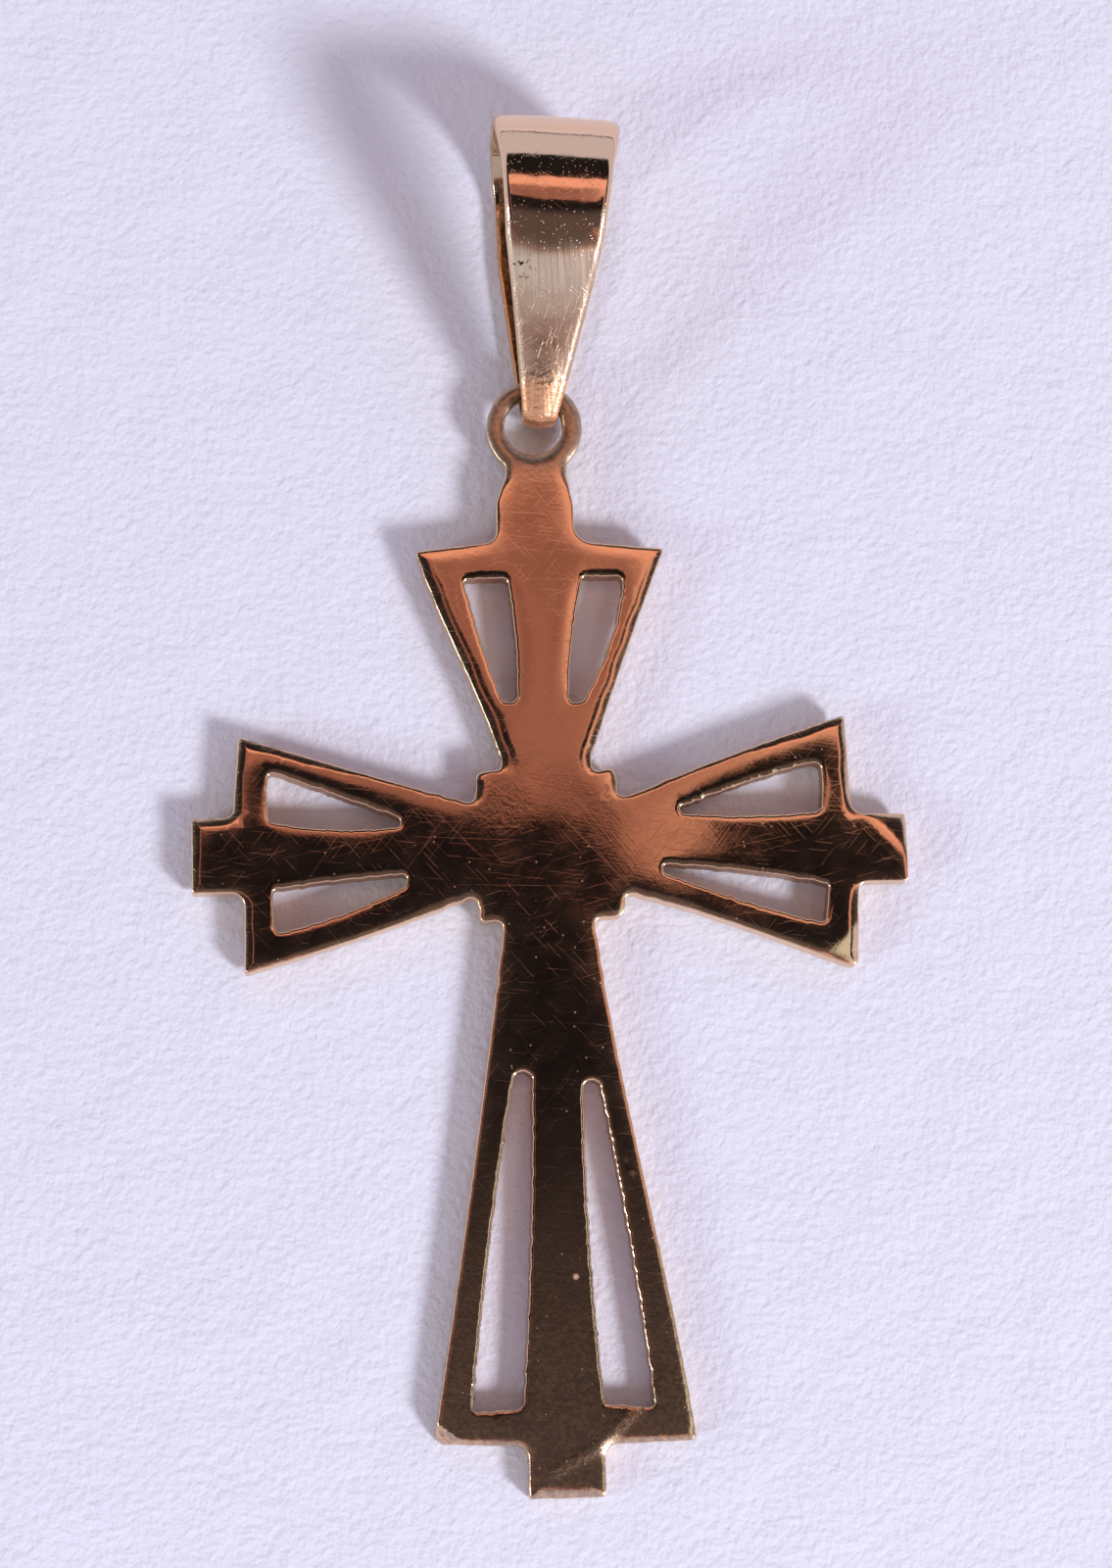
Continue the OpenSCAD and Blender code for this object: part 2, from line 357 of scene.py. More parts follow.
class Outline:
    """The plate's edge as closed loops of evenly spaced points, each with its kind."""

    def __init__(self, plate, rng):
        local = plate.to_local(plate.points)
        self.thickness = local[:, 2].max()
        self.middle = plate.flat_place(*NOTCH_MIDDLE)
        loops = boundary_loops(plate.triangles, local[:, :2])
        loops.sort(key=lambda loop: -abs(loop_area(loop)))
        hole = find_hole(loops)
        self.hole_centre = loops[hole].mean(0)
        wall_r = lengths(local[:, :2] - self.hole_centre).min()
        turn = np.linspace(0, -2 * pi, 97)[:-1]
        loops[hole] = self.hole_centre + np.stack([np.cos(turn), np.sin(turn)], 1) * wall_r
        self.kinds = ["outer"] + ["window"] * (len(loops) - 1)
        self.kinds[hole] = "hole"
        self.loops = [self.finish(loop, kind, rng) for loop, kind in zip(loops, self.kinds)]
        self.points = np.vstack(self.loops)
        starts = np.cumsum([0] + [len(loop) for loop in self.loops])
        self.spans = list(zip(starts[:-1], starts[1:]))

    def finish(self, loop, kind, rng):
        """A loop with rounded corners, evenly spaced points and saw marks."""
        even = resample(loop, 0.03)
        rounded = smooth_loop(even, CORNER_ROUND)
        coarse, fine = WINDOW_SAWING if kind == "window" else OTHER_SAWING
        if kind == "outer":
            notched = self.in_notches(even)
            rounded = rounded * (1 - notched) + smooth_loop(even, NOTCH_ROUND) * notched
        even = resample(rounded, OUTLINE_STEP)
        if kind == "outer":
            coarse = coarse + NOTCH_UNEVEN * self.in_notches(even)[:, 0]
        return sawn(even, rng, coarse, fine)

    def in_notches(self, places):
        """1 at the hand-cut notches, 0 away from them."""
        away = lengths(places - self.middle)
        return 1 - smoothstep(*NOTCH_REACH, away)[:, None]

    def inward(self):
        return np.vstack([inward_normals(loop) for loop in self.loops])

    def distances(self, places, kind=None):
        """For each place: distance to the edge, and the direction away from it."""
        chosen = [loop for loop, k in zip(self.loops, self.kinds) if kind in (None, k)]
        here, ahead, behind = (
            np.vstack([np.roll(loop, shift, axis=0) for loop in chosen]) for shift in (0, -1, 1)
        )
        tree = KDTree(len(here))
        for i, (x, y) in enumerate(here):
            tree.insert((x, y, 0), i)
        tree.balance()
        nearest = np.array([tree.find((x, y, 0))[1] for x, y in places])
        one, foot_one = segment_distance(places, here[nearest], ahead[nearest])
        two, foot_two = segment_distance(places, here[nearest], behind[nearest])
        near = np.minimum(one, two)
        foot = np.where((one < two)[:, None], foot_one, foot_two)
        return near, (places - foot) / np.maximum(near, 1e-9)[:, None]


def segment_distance(places, a, b):
    """Distance of each place to a piece of line, and the nearest point on it."""
    run = b - a
    t = np.clip(((places - a) * run).sum(-1) / (run**2).sum(-1), 0, 1)
    foot = a + t[:, None] * run
    return lengths(places - foot), foot


def edge_roll(distance, width, tilt_deg, sudden):
    """Fall of a rolled edge with its lip, and the tangent of its tilt, at a distance from the wall."""
    steep = np.tan(np.radians(tilt_deg))
    share = np.clip((LIP + width - distance) / width, 0, 1)
    left = (1 - share) ** sudden
    fall = width * steep * (share - (1 - left * (1 - share)) / (sudden + 1))
    sine = np.sin(np.arctan(steep))
    lip_r = LIP / (1 - sine)
    tilt = np.arcsin(np.clip(1 - distance / lip_r, sine, 1))
    outside = distance < LIP
    fall = fall + np.where(outside, lip_r * (np.sqrt(1 - sine**2) - np.cos(tilt)), 0)
    steepest = radians(LIP_STEEPEST_DEG)
    tangent = np.where(outside, np.tan(np.minimum(tilt, steepest)), steep * (1 - left))
    return fall, tangent


def roll_sizes(kind, places, away, outline, variation):
    """Width, tilt and suddenness of the roll at each place, by the kind of edge."""
    upper = smoothstep(*UPPER_LIMB, places[:, 1])
    if kind != "window":
        return limb_roll(places, away, outline, variation, upper).T
    size = np.outer(np.ones(len(places)), WINDOW_ROLL)
    over = np.clip(away[:, 1], 0, 1) ** 2 * upper
    size[:, 0] *= 1 + 1.8 * over
    size[:, 1] *= 1 - 0.5 * over
    return size.T


def limb_roll(places, away, outline, variation, upper):
    """The same along the limbs and round the ring: narrower where an edge faces a certain way."""
    arm = smoothstep(*ARM, np.abs(places[:, 0]))
    zones = (
        (UPPER_ROLL, upper),
        (ARM_ROLL, arm),
        (FOOT_ROLL, 1 - smoothstep(*FOOT_FLARE, places[:, 1])),
        (STUB_ROLL, 1 - smoothstep(*STUB, places[:, 1])),
    )
    size = np.outer(np.ones(len(places)), LIMB_ROLL)
    for roll, share in zones:
        size += (np.array(roll) - size) * share[:, None]
    on_top, on_foot = np.clip(-away[:, 1], 0, 1), np.clip(away[:, 1], 0, 1)
    on_right, on_side = np.clip(-away[:, 0], 0, 1), np.abs(away[:, 0])
    stem = upper * (1 - arm)
    tab = smoothstep(*RIGHT_TAB, places[:, 0])
    narrower = (
        (0.8, on_top * stem),
        (0.3, on_right * stem),
        (0.7, smoothstep(*NECK, places[:, 1])),
        (0.6, on_foot * arm),
        (0.8, on_side * (1 - smoothstep(*STUB_SIDES, places[:, 1]))),
        (0.65, tab),
    )
    for loss, share in narrower:
        size[:, 0] *= 1 - loss * share
    size[:, 0] *= 1 + 0.07 * variation
    size[:, 1] *= (1 + 0.05 * variation * upper) * (1 - 0.6 * tab)
    from_hole = lengths(places - outline.hole_centre)
    ring = (1 - smoothstep(*RING, from_hole))[:, None]
    return size + (np.array(RING_ROLL) - size) * ring


def waves_between(rng, frequency, shortest, longest):
    """Random waves on a grid, of lengths between two limits."""
    waves = np.fft.fft2(rng.standard_normal(frequency.shape))
    waves[(frequency < 1 / longest) | (frequency > 1 / shortest)] = 0
    return np.fft.ifft2(waves).real


class FaceField:
    """Slow shapes of the polished face on a grid: its pillow and its waves."""

    def __init__(self, outline, rng):
        self.low = outline.points.min(0) - GRID_MARGIN
        size = np.ceil((outline.points.max(0) + GRID_MARGIN - self.low) / GRID_STEP).astype(int)
        xs, ys = (low + GRID_STEP * np.arange(count) for low, count in zip(self.low, size))
        fx, fy = (np.fft.fftfreq(count, GRID_STEP) for count in size)
        frequency = np.sqrt(fx[:, None] ** 2 + fy[None, :] ** 2)
        waves = waves_between(rng, frequency, *WAVE_LENGTH)
        slope = np.gradient(waves, GRID_STEP)
        waves *= WAVE_SLOPE / np.sqrt((slope[0] ** 2 + slope[1] ** 2).mean())
        self.height = waves - self.pillow(outline, xs, ys, frequency)
        self.slopes = np.gradient(self.height, GRID_STEP)
        uneven = waves_between(rng, frequency, *UNEVEN_LENGTH)
        self.uneven = np.clip(uneven / uneven.std(), -1.6, 1.6)

    def pillow(self, outline, xs, ys, frequency):
        """How far the face falls towards the edges."""
        grid = np.stack(np.meshgrid(xs, ys, indexing="ij"), 2)
        metal = in_metal(outline, grid.reshape(-1, 2)).reshape(frequency.shape)
        blur = np.exp(-2 * (pi * frequency * PILLOW_REACH) ** 2)
        cover = np.fft.ifft2(np.fft.fft2(metal.astype(float)) * blur).real
        fall = PILLOW_DROP * (1 - np.clip(cover, 0, 1)) ** 2
        along_arm = smoothstep(*ARM_START, np.abs(xs - outline.middle[0]))[:, None]
        in_stem = 1 - smoothstep(*ARM_STEM, np.abs(ys - outline.middle[1]))[None, :]
        return fall * (1 - (1 - ARM_PILLOW) * along_arm * in_stem)

    def sample(self, grid, places):
        at = (places - self.low) / GRID_STEP
        cell = np.clip(np.floor(at).astype(int), 0, np.array(grid.shape) - 2)
        u, v = (at - cell).T
        i, j = cell.T
        low = grid[i, j] * (1 - u) + grid[i + 1, j] * u
        high = grid[i, j + 1] * (1 - u) + grid[i + 1, j + 1] * u
        return low * (1 - v) + high * v

    def at(self, places):
        slope = [self.sample(s, places) for s in self.slopes]
        return self.sample(self.height, places), np.stack(slope, 1)


def face_points(outline, rng):
    """Points inside the outline: rows that follow it, then a loose grid."""
    inward = outline.inward()
    rows = []
    for k, depth in enumerate(FACE_ROWS):
        every = 1 if k < DENSE_ROWS else 2
        picked = np.concatenate([np.arange(a, b, every) for a, b in outline.spans])
        rows.append((outline.points[picked] + inward[picked] * depth, depth))
    low, high = outline.points.min(0), outline.points.max(0)
    count = ((high - low) / INNER_STEP).astype(int) + 2
    i, j = np.meshgrid(np.arange(count[0]), np.arange(count[1]), indexing="ij")
    grid = np.stack([(i + 0.5 * (j % 2)).ravel(), j.ravel()], 1) * INNER_STEP + low
    grid += rng.uniform(-INNER_SCATTER, INNER_SCATTER, grid.shape)
    rows.append((grid, FACE_ROWS[-1] + 0.5 * INNER_STEP))
    return np.vstack([places[outline.distances(places)[0] > 0.94 * depth] for places, depth in rows])


def triangulate(outline, inner):
    """Constrained triangles of the metal between the loops."""
    points = [Vector(p) for p in np.vstack([outline.points, inner])]
    edges = []
    for a, b in outline.spans:
        edges += [(i, i + 1) for i in range(a, b - 1)] + [(b - 1, a)]
    result = delaunay_2d_cdt(points, edges, [], 0, 1e-7)
    if len(result[0]) != len(points):
        raise RuntimeError("the outline crosses itself")
    faces = np.array(result[2])
    places = np.array([tuple(p) for p in result[0]])
    faces = faces[in_metal(outline, places[faces].mean(1))]
    corner = places[faces]
    turn = np.cross(corner[:, 1] - corner[:, 0], corner[:, 2] - corner[:, 0])
    faces[turn < 0] = faces[turn < 0][:, ::-1]
    used, faces = np.unique(faces, return_inverse=True)
    return places[used], faces.reshape(-1, 3)


def in_metal(outline, places):
    """Which places an odd number of the plate's loops go round."""
    count = np.zeros(len(places), int)
    for loop in outline.loops:
        for (x0, y0), (x1, y1) in zip(loop, np.roll(loop, -1, axis=0)):
            level = np.nonzero((y0 > places[:, 1]) != (y1 > places[:, 1]))[0]
            x = x0 + (places[level, 1] - y0) / (y1 - y0) * (x1 - x0)
            count[level] += x > places[level, 0]
    return count % 2 == 1


def put(name, data):
    made = bpy.data.objects.new(name, data)
    bpy.context.scene.collection.objects.link(made)
    return made


def make_mesh(name, points, faces, normals, attributes):
    """An object from points in millimetres, with its values for the material."""
    mesh = bpy.data.meshes.new(name)
    mesh.from_pydata([tuple(p) for p in points * MM], [], [tuple(int(v) for v in f) for f in faces])
    mesh.update()
    for label, values in attributes.items():
        layer = mesh.attributes.new(label, "FLOAT", "POINT")
        layer.data.foreach_set("value", np.asarray(values, np.float32))
    mesh.polygons.foreach_set("use_smooth", [True] * len(mesh.polygons))
    if normals is not None:
        mesh.normals_split_custom_set_from_vertices([tuple(n) for n in normals])
    return put(name, mesh)


def face_shapes(plate, outline, field, places):
    """Height and slope of the polished face and of the back, and where the smear lies."""
    slow, gradient = field.at(places)
    marks, mark_slope, smeared = marks_of_use(plate, places)
    slow, gradient = slow + marks, gradient + mark_slope
    fall, back = np.zeros((2, len(places)))
    back_gradient = np.zeros((len(places), 2))
    uneven = field.sample(field.uneven, places)
    for kind in ("outer", "hole", "window"):
        near, away = outline.distances(places, kind)
        drop, tangent = edge_roll(near, *roll_sizes(kind, places, away, outline, uneven))
        fall += drop
        gradient = gradient + tangent[:, None] * away
        drop, tangent = edge_roll(near, *BACK_ROLL)
        back += drop
        back_gradient -= tangent[:, None] * away
    top = outline.thickness - (slow - fall).max() + slow - fall
    return (top, gradient), (back, back_gradient), smeared


def wall_rows(upper, lower, outward, rng):
    """Rows of points down the sawn walls."""
    rows = []
    for k in range(1, WALL_ROWS):
        share = k / WALL_ROWS
        pits = np.abs(WALL_PIT * rng.standard_normal(len(outward)))
        rows.append(upper * (1 - share) + lower * share - outward * pits[:, None])
    return rows


def wall_faces(outline, rings):
    """Faces down the walls, from ring to ring."""
    quads = []
    for upper, lower in zip(rings[:-1], rings[1:]):
        for a, b in outline.spans:
            here = np.arange(a, b)
            ahead = np.roll(here, -1)
            corners = (upper[here], lower[here], lower[ahead], upper[ahead])
            quads += list(np.stack(corners, 1))
    return quads


def plate_shares(outline, points, rings, smeared):
    """What the material asks of each point: sawn, in a window (where the walls get painted shade), rim,
    smear, dull ring, foot.
    """
    shares = {name: np.zeros(len(points)) for name in ("sawn", "slot", "rim", "smear")}
    of_window = np.repeat([kind == "window" for kind in outline.kinds], np.diff(outline.spans)[:, 0])
    for ring in rings:
        shares["sawn"][ring] = 1
        # Walls of the windows, which get painted shade
        shares["slot"][ring] = of_window
    face = slice(len(smeared))
    shares["rim"][face] = np.exp(-outline.distances(points[face, :2], "outer")[0] / RIM_REACH)
    shares["smear"][face] = smeared
    from_hole = lengths(points[:, :2] - outline.hole_centre)
    shares["dull"] = 1 - smoothstep(*DULL_RING, from_hole)
    shares["foot"] = 1 - smoothstep(*DULL_FOOT, points[:, 1])
    return shares


def build_cross():
    rng = np.random.default_rng(11)
    plate = PlateFrame(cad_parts["cross"])
    outline = Outline(plate, rng)
    field = FaceField(outline, rng)
    places, faces = triangulate(outline, face_points(outline, rng))
    (top, gradient), (back, back_gradient), smeared = face_shapes(plate, outline, field, places)
    count, rim = len(places), len(outline.points)
    outward = np.column_stack([-outline.inward(), np.zeros(rim)])
    from_hole = lengths(places - outline.hole_centre)
    lean = smoothstep(*PAST_RING, from_hole)[:, None] * SAW_LEAN
    face, under = np.column_stack([places, top]), np.column_stack([places + lean, back])
    walls = wall_rows(face[:rim], under[:rim], outward, rng)
    points = np.vstack([face, under] + walls)
    ring_starts = [0] + [2 * count + k * rim for k in range(len(walls))] + [count]
    rings = [start + np.arange(rim) for start in ring_starts]
    normals = [face_normals(-gradient, 1, outward), face_normals(back_gradient, -1, outward)]
    normals.append(np.zeros((rim * len(walls), 3)))
    sheet = [*faces, *(faces[:, ::-1] + count)]
    return make_mesh(
        "cross_plate",
        plate.foot + plate.turn_to_row(points),
        sheet + wall_faces(outline, rings),
        plate.turn_to_row(np.vstack(normals)),
        plate_shares(outline, points, rings, smeared),
    )


def marks_of_use(plate, places):
    """Height and slope of all marks of use, and where the smear lies."""
    here = plate.flat_place
    height = np.zeros(len(places))
    slope = np.zeros((len(places), 2))
    for x, y, wide, long, tall in DENTS:
        away = (places - here(x, y)) / (wide, long)
        bump = tall * np.exp(-0.5 * (away**2).sum(1))
        height += bump
        slope -= bump[:, None] * away / (wide, long)
    for start, end, *fall in FALLEN_CORNERS:
        drop, drop_slope = fallen_corner(places, here(*start), here(*end), *fall)
        height -= drop
        slope -= drop_slope
    smeared, smear_slope = smear_line(places, [here(*point) for point in SMEAR])
    return height + SMEAR_HEIGHT * smeared, slope + SMEAR_HEIGHT * smear_slope, smeared


def fallen_corner(places, a, b, fall_deg, softness, reach):
    """Fall, and its slope, on the right of the line from a to b."""
    run = (b - a) / np.linalg.norm(b - a)
    out = np.array([run[1], -run[0]])
    past = (places - a) @ out
    soft = np.sqrt(past**2 + softness**2)
    within = 1 - smoothstep(reach - 0.6, reach, lengths(places - (a + b) / 2))
    fall = tan(radians(fall_deg)) * within
    return 0.5 * fall * (past + soft), (0.5 * fall * (1 + past / soft))[:, None] * out


def smear_line(places, line):
    """1 along a bent line, fading beside it, and the slope of that."""
    near = np.full(len(places), 1e9)
    foot = np.zeros_like(places)
    for a, b in zip(line[:-1], line[1:]):
        gap, at = segment_distance(places, a, b)
        closer = gap < near
        near[closer] = gap[closer]
        foot[closer] = at[closer]
    smeared = np.exp(-0.5 * (near / SMEAR_REACH) ** 2)
    return smeared, -smeared[:, None] * (places - foot) / SMEAR_REACH**2


def face_normals(sideways, up, outward):
    """Normals from the slopes. The first ones, at the rim, point straight out."""
    normal = np.column_stack([sideways, np.full(len(sideways), up)])
    normal /= lengths(normal)[:, None]
    normal[: len(outward)] = outward
    return normal


def strap_half(distance):
    """Half the strap's width at a distance from its tip."""
    at, half = zip(*HALF_WIDTHS)
    wide = np.interp(distance, at, half)
    tip = np.clip(distance / TIP_CORNER, 0, 1)
    end = np.clip((at[-1] - distance) / END_CORNER, 0, 1)
    wide -= TIP_CORNER * (1 - np.sqrt(1 - (1 - tip) ** 2))
    return wide - END_CORNER * (1 - np.sqrt(1 - (1 - end) ** 2))


def loop_path(length, big_r):
    """Side view of the drop-shaped loop: distance from the tip, height, angle of the outward normal."""
    lean = 2 * atan2(big_r - TIP_R, length - big_r - TIP_R)
    quarter = pi / 2
    back, front = -quarter, quarter + lean
    round_steps, tip_steps, back_steps, front_steps = PATH_STEPS

    def arc(centre, radius, start, end, steps):
        angle = np.linspace(start, end, steps, endpoint=False)
        return np.stack([centre + radius * np.cos(angle), radius + radius * np.sin(angle), angle], 1)

    def leg(start, end, angle, steps):
        return np.linspace((*start, angle), (*end, angle), steps, endpoint=False)

    round_end = arc(length - big_r, big_r, back, front, round_steps)
    tip = arc(TIP_R, TIP_R, front, 2 * pi + back, tip_steps)
    front_start = (length - big_r + big_r * cos(front), big_r + big_r * sin(front))
    back_leg = leg((TIP_R, 0), (length - big_r, 0), back, back_steps)
    front_leg = leg(front_start, tip[0, :2], front, front_steps)
    return np.vstack([back_leg, round_end, front_leg, tip])


def strap_section():
    """Round the strap's section: across as a share, extra across, depth from its outer face."""
    middle = FLAT_POINTS // 2
    flat = np.linspace(-1, 1, FLAT_POINTS)[middle + 1 :]
    turn = np.linspace(0, pi / 2, CORNER_POINTS)
    outer = [(u, -EDGE_WIDE, 0.0) for u in flat]
    edge = [(1, -EDGE_WIDE * (1 - sin(a)), EDGE_DEEP * (1 - cos(a))) for a in turn[1:]]
    inner_edge = [
        (1, -INNER_R * (1 - sin(a)), STRAP_T - INNER_R * (1 - cos(a))) for a in turn[::-1]
    ]
    half = outer + edge + inner_edge + [(u, -INNER_R, STRAP_T) for u in flat[-2::-1]]
    mirrored = [(-u, extra, depth) for u, extra, depth in half[::-1]]
    return np.array([(0.0, 0.0, 0.0)] + half + [(0.0, 0.0, STRAP_T)] + mirrored)


def leg_bend(distance):
    """How far the front leg stands out from a straight one."""
    at, steeper = zip(*LEG_BENDS)
    fine = np.linspace(0, at[-1], 400)
    slope = np.tan(np.radians(np.interp(fine, at, steeper)))
    stands = np.concatenate([[0], np.cumsum(0.5 * (slope[1:] + slope[:-1]) * np.diff(fine))])
    stands -= stands[-1]
    fade = 1 - smoothstep(at[-1] - 0.8, at[-1], distance)
    return np.interp(distance, fine, stands) * fade


def bail_axes():
    """The bail's tip on the table, and its directions ahead and to the right."""
    cad = np.array([v.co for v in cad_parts["bail"].data.vertices]) / MM
    turn = radians(BAIL_TURN_DEG)
    ahead = np.array([sin(turn), cos(turn)])
    right = np.array([cos(turn), -sin(turn)])
    reach = cad[:, :2] @ ahead
    tip = cad[reach < reach.min() + 0.005][:, :2]
    return ahead * reach.min() + right * (tip @ right).mean(), ahead, right


def net_faces(rows, columns):
    """Four-sided faces of a net of points that closes both ways."""
    i, j = np.meshgrid(np.arange(rows), np.arange(columns), indexing="ij")
    ahead_i, ahead_j = (i + 1) % rows, (j + 1) % columns
    here, beside = i * columns + j, i * columns + ahead_j
    above, over = ahead_i * columns + j, ahead_i * columns + ahead_j
    return np.stack([here, above, over, beside], 2).reshape(-1, 4)


def build_bail():
    rng = np.random.default_rng(5)
    _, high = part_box("bail")
    tip, ahead, right = bail_axes()
    length = HALF_WIDTHS[-1][0]
    path = loop_path(length, high[2] / MM / 2)
    side, extra, depth = strap_section().T
    outside = depth < 0.5 * STRAP_T
    along, out = np.cos(path[:, 2:]), np.sin(path[:, 2:])

    on_front = (path[:, 2] > pi / 2) & (path[:, 2] < pi)
    wave = STRAP_WAVE * ring_filter(rng.standard_normal(len(path)), 0.06, 6.0, 1.5)
    wave = wave + leg_bend(path[:, 0]) * on_front
    crown = STRAP_CROWN * side**2 + EDGE_CROWN * side**6
    narrow = (strap_half(np.clip(path[:, :1], 0, length)) / 2) ** 2
    stands = crown * narrow - wave[:, None] * (1 - 0.5 * side**2)
    depth = depth + stands * outside + STRAP_WAVE
    distance = path[:, :1] - along * depth
    height = path[:, 1:2] - out * depth

    front = smoothstep(*FRONT_RISE, height) * np.sin(pi * np.clip(distance / length, 0, 1))
    across = side * (strap_half(np.clip(distance, 0, length)) + extra) + FRONT_SHIFT * front
    plan = tip + distance[..., None] * ahead + across[..., None] * right
    points = np.concatenate([plan, height[..., None]], 2).reshape(-1, 3)
    leg = np.where(on_front[:, None] & outside, distance, OFF_LEG).ravel()
    # The strap's inner face, which gets the painted shade inside the loop
    inside = np.tile(1.0 - outside, (len(path), 1)).ravel()
    faces = net_faces(len(path), len(side))
    return make_mesh("bail_strap", points, faces, None, {"leg": leg, "inside": inside})


# Node building


def node(tree, kind, inputs=None, **settings):
    """A node with its settings, and its inputs as links or constants."""
    made = tree.nodes.new(kind)
    for key, value in settings.items():
        setattr(made, key, value)
    for key, value in (inputs or {}).items():
        socket = made.inputs[key]
        if isinstance(value, bpy.types.NodeSocket):
            tree.links.new(value, socket)
        else:
            socket.default_value = value
    return made


def maths(tree, operation, *values, clamp=False):
    made = node(tree, "ShaderNodeMath", dict(enumerate(values)), operation=operation, use_clamp=clamp)
    return made.outputs[0]


def times(tree, one, other, *plus):
    """Product of two values, with a third added where one is given."""
    return maths(tree, "MULTIPLY_ADD" if plus else "MULTIPLY", one, other, *plus)


def vector_maths(tree, operation, one, other):
    return node(tree, "ShaderNodeVectorMath", {0: one, 1: other}, operation=operation).outputs[0]


def scaled(tree, place, factor):
    values = {0: place, "Scale": factor}
    return node(tree, "ShaderNodeVectorMath", values, operation="SCALE").outputs[0]


def attribute(tree, name):
    return node(tree, "ShaderNodeAttribute", attribute_name=name).outputs["Fac"]


def ramp(tree, value, low, high, to_low=0.0, to_high=1.0):
    values = {"Value": value, "From Min": low, "From Max": high, "To Min": to_low, "To Max": to_high}
    return node(tree, "ShaderNodeMapRange", values, interpolation_type="SMOOTHSTEP").outputs["Result"]


def millimetres(tree):
    """The point on the piece, in millimetres."""
    return scaled(tree, node(tree, "ShaderNodeTexCoord").outputs["Object"], 1 / MM)


def scratch_group():
    """One fine straight or slightly bent scratch in each cell of a loose net."""
    tree = bpy.data.node_groups.new("scratch_net", "ShaderNodeTree")
    face = tree.interface
    face.new_socket("Place", in_out="INPUT", socket_type="NodeSocketVector")
    for name in ("Cell", "Width", "Share", "Turn", "Spread", "Stretch"):
        face.new_socket(name, in_out="INPUT", socket_type="NodeSocketFloat")
    face.new_socket("Mark", in_out="OUTPUT", socket_type="NodeSocketFloat")
    given = node(tree, "NodeGroupInput").outputs
    place = scaled(tree, given["Place"], maths(tree, "DIVIDE", 1.0, given["Cell"]))
    values = {"Vector": place, "Scale": 1.0}
    cells = node(tree, "ShaderNodeTexVoronoi", values, voronoi_dimensions="2D")
    away = vector_maths(tree, "SUBTRACT", place, cells.outputs["Position"])
    chance = node(tree, "ShaderNodeSeparateColor", {"Color": cells.outputs["Color"]}).outputs
    swing = times(tree, chance[0], given["Spread"], given["Turn"])
    x, y, _ = node(tree, "ShaderNodeSeparateXYZ", {"Vector": away}).outputs
    cosine, sine = maths(tree, "COSINE", swing), maths(tree, "SINE", swing)
    run = maths(tree, "ADD", times(tree, x, cosine), times(tree, y, sine))
    off = maths(tree, "SUBTRACT", times(tree, y, cosine), times(tree, x, sine))
    bend = times(tree, maths(tree, "SUBTRACT", chance[2], 0.5), times(tree, run, run))
    off = times(tree, maths(tree, "ADD", off, times(tree, bend, 0.06)), given["Cell"])
    beside = maths(tree, "DIVIDE", maths(tree, "ABSOLUTE", off), given["Width"])
    line = maths(tree, "SUBTRACT", 1.0, beside, clamp=True)
    along = maths(tree, "DIVIDE", maths(tree, "ABSOLUTE", run), given["Stretch"])
    end = ramp(tree, along, 0.25, 0.55, 1.0, 0.0)
    chosen = maths(tree, "SUBTRACT", given["Share"], chance[1])
    chosen = maths(tree, "DIVIDE", chosen, given["Share"], clamp=True)
    chosen = maths(tree, "POWER", chosen, 2.0)
    node(tree, "NodeGroupOutput", {"Mark": times(tree, times(tree, line, end), chosen)})


def scratches(tree, place, cell, width, share, turn=0.0, spread=pi, stretch=1.0):
    """Fine scratches in a share of a net's cells."""
    values = {"Place": place, "Cell": cell, "Width": width, "Share": share}
    values |= {"Turn": turn, "Spread": spread, "Stretch": stretch}
    net = bpy.data.node_groups["scratch_net"]
    return node(tree, "ShaderNodeGroup", values, node_tree=net).outputs["Mark"]


def turned(tree, place, angle_deg):
    values = {"Vector": place, "Angle": radians(angle_deg)}
    return node(tree, "ShaderNodeVectorRotate", values, rotation_type="Z_AXIS").outputs[0]


def long_scratches(tree, place, angle_deg, cell, width, share):
    """Long fine scratches, nearly all in one direction."""
    squashed = vector_maths(tree, "MULTIPLY", turned(tree, place, angle_deg), (1 / 6, 1, 1))
    return scratches(tree, squashed, cell, width, share, 0.0, 0.3)


def scratch_families(tree, place, families, width, share):
    """Several families of long scratches."""

    def family(k, angle, cell):
        shifted = vector_maths(tree, "ADD", place, (3.3 * k, 7.1 * k, 0))
        return long_scratches(tree, shifted, angle, cell, width, share)

    return together(tree, (family(k, *given) for k, given in enumerate(families)))


def specks(tree, place, cell, size, share):
    """Small round pits, in some cells of a net."""
    values = {"Vector": place, "Scale": 1 / cell}
    cells = node(tree, "ShaderNodeTexVoronoi", values, voronoi_dimensions="3D")
    chance = node(tree, "ShaderNodeSeparateColor", {"Color": cells.outputs["Color"]}).outputs
    dot = ramp(tree, cells.outputs["Distance"], 0.4 * size / cell, size / cell, 1.0, 0.0)
    chosen = maths(tree, "LESS_THAN", chance[0], share)
    return times(tree, dot, chosen)


def noise(tree, place, scale, detail=2.0, rough=0.5, stretch=None):
    if stretch is not None:
        place = vector_maths(tree, "MULTIPLY", place, stretch)
    values = {"Vector": place, "Scale": scale, "Detail": detail, "Roughness": rough}
    return node(tree, "ShaderNodeTexNoise", values).outputs[0]


def material(name, kind="ShaderNodeBsdfPrincipled", inputs=None):
    """A material with one shader, its node tree and that shader."""
    made = bpy.data.materials.new(name)
    made.use_nodes = True
    tree = made.node_tree
    tree.nodes.clear()
    shader = node(tree, kind, inputs)
    node(tree, "ShaderNodeOutputMaterial", {"Surface": shader.outputs[0]})
    return made, tree, shader


def together(tree, layers):
    total = 0.0
    for layer in layers:
        total = times(tree, layer, 1.0, total)
    return total


def summed(tree, marks, shares, start=0.0):
    """Sum of named marks, each times its share, added to a start."""
    total = start
    for name, share in shares.items():
        total = times(tree, getattr(marks, name), share, total)
    return total


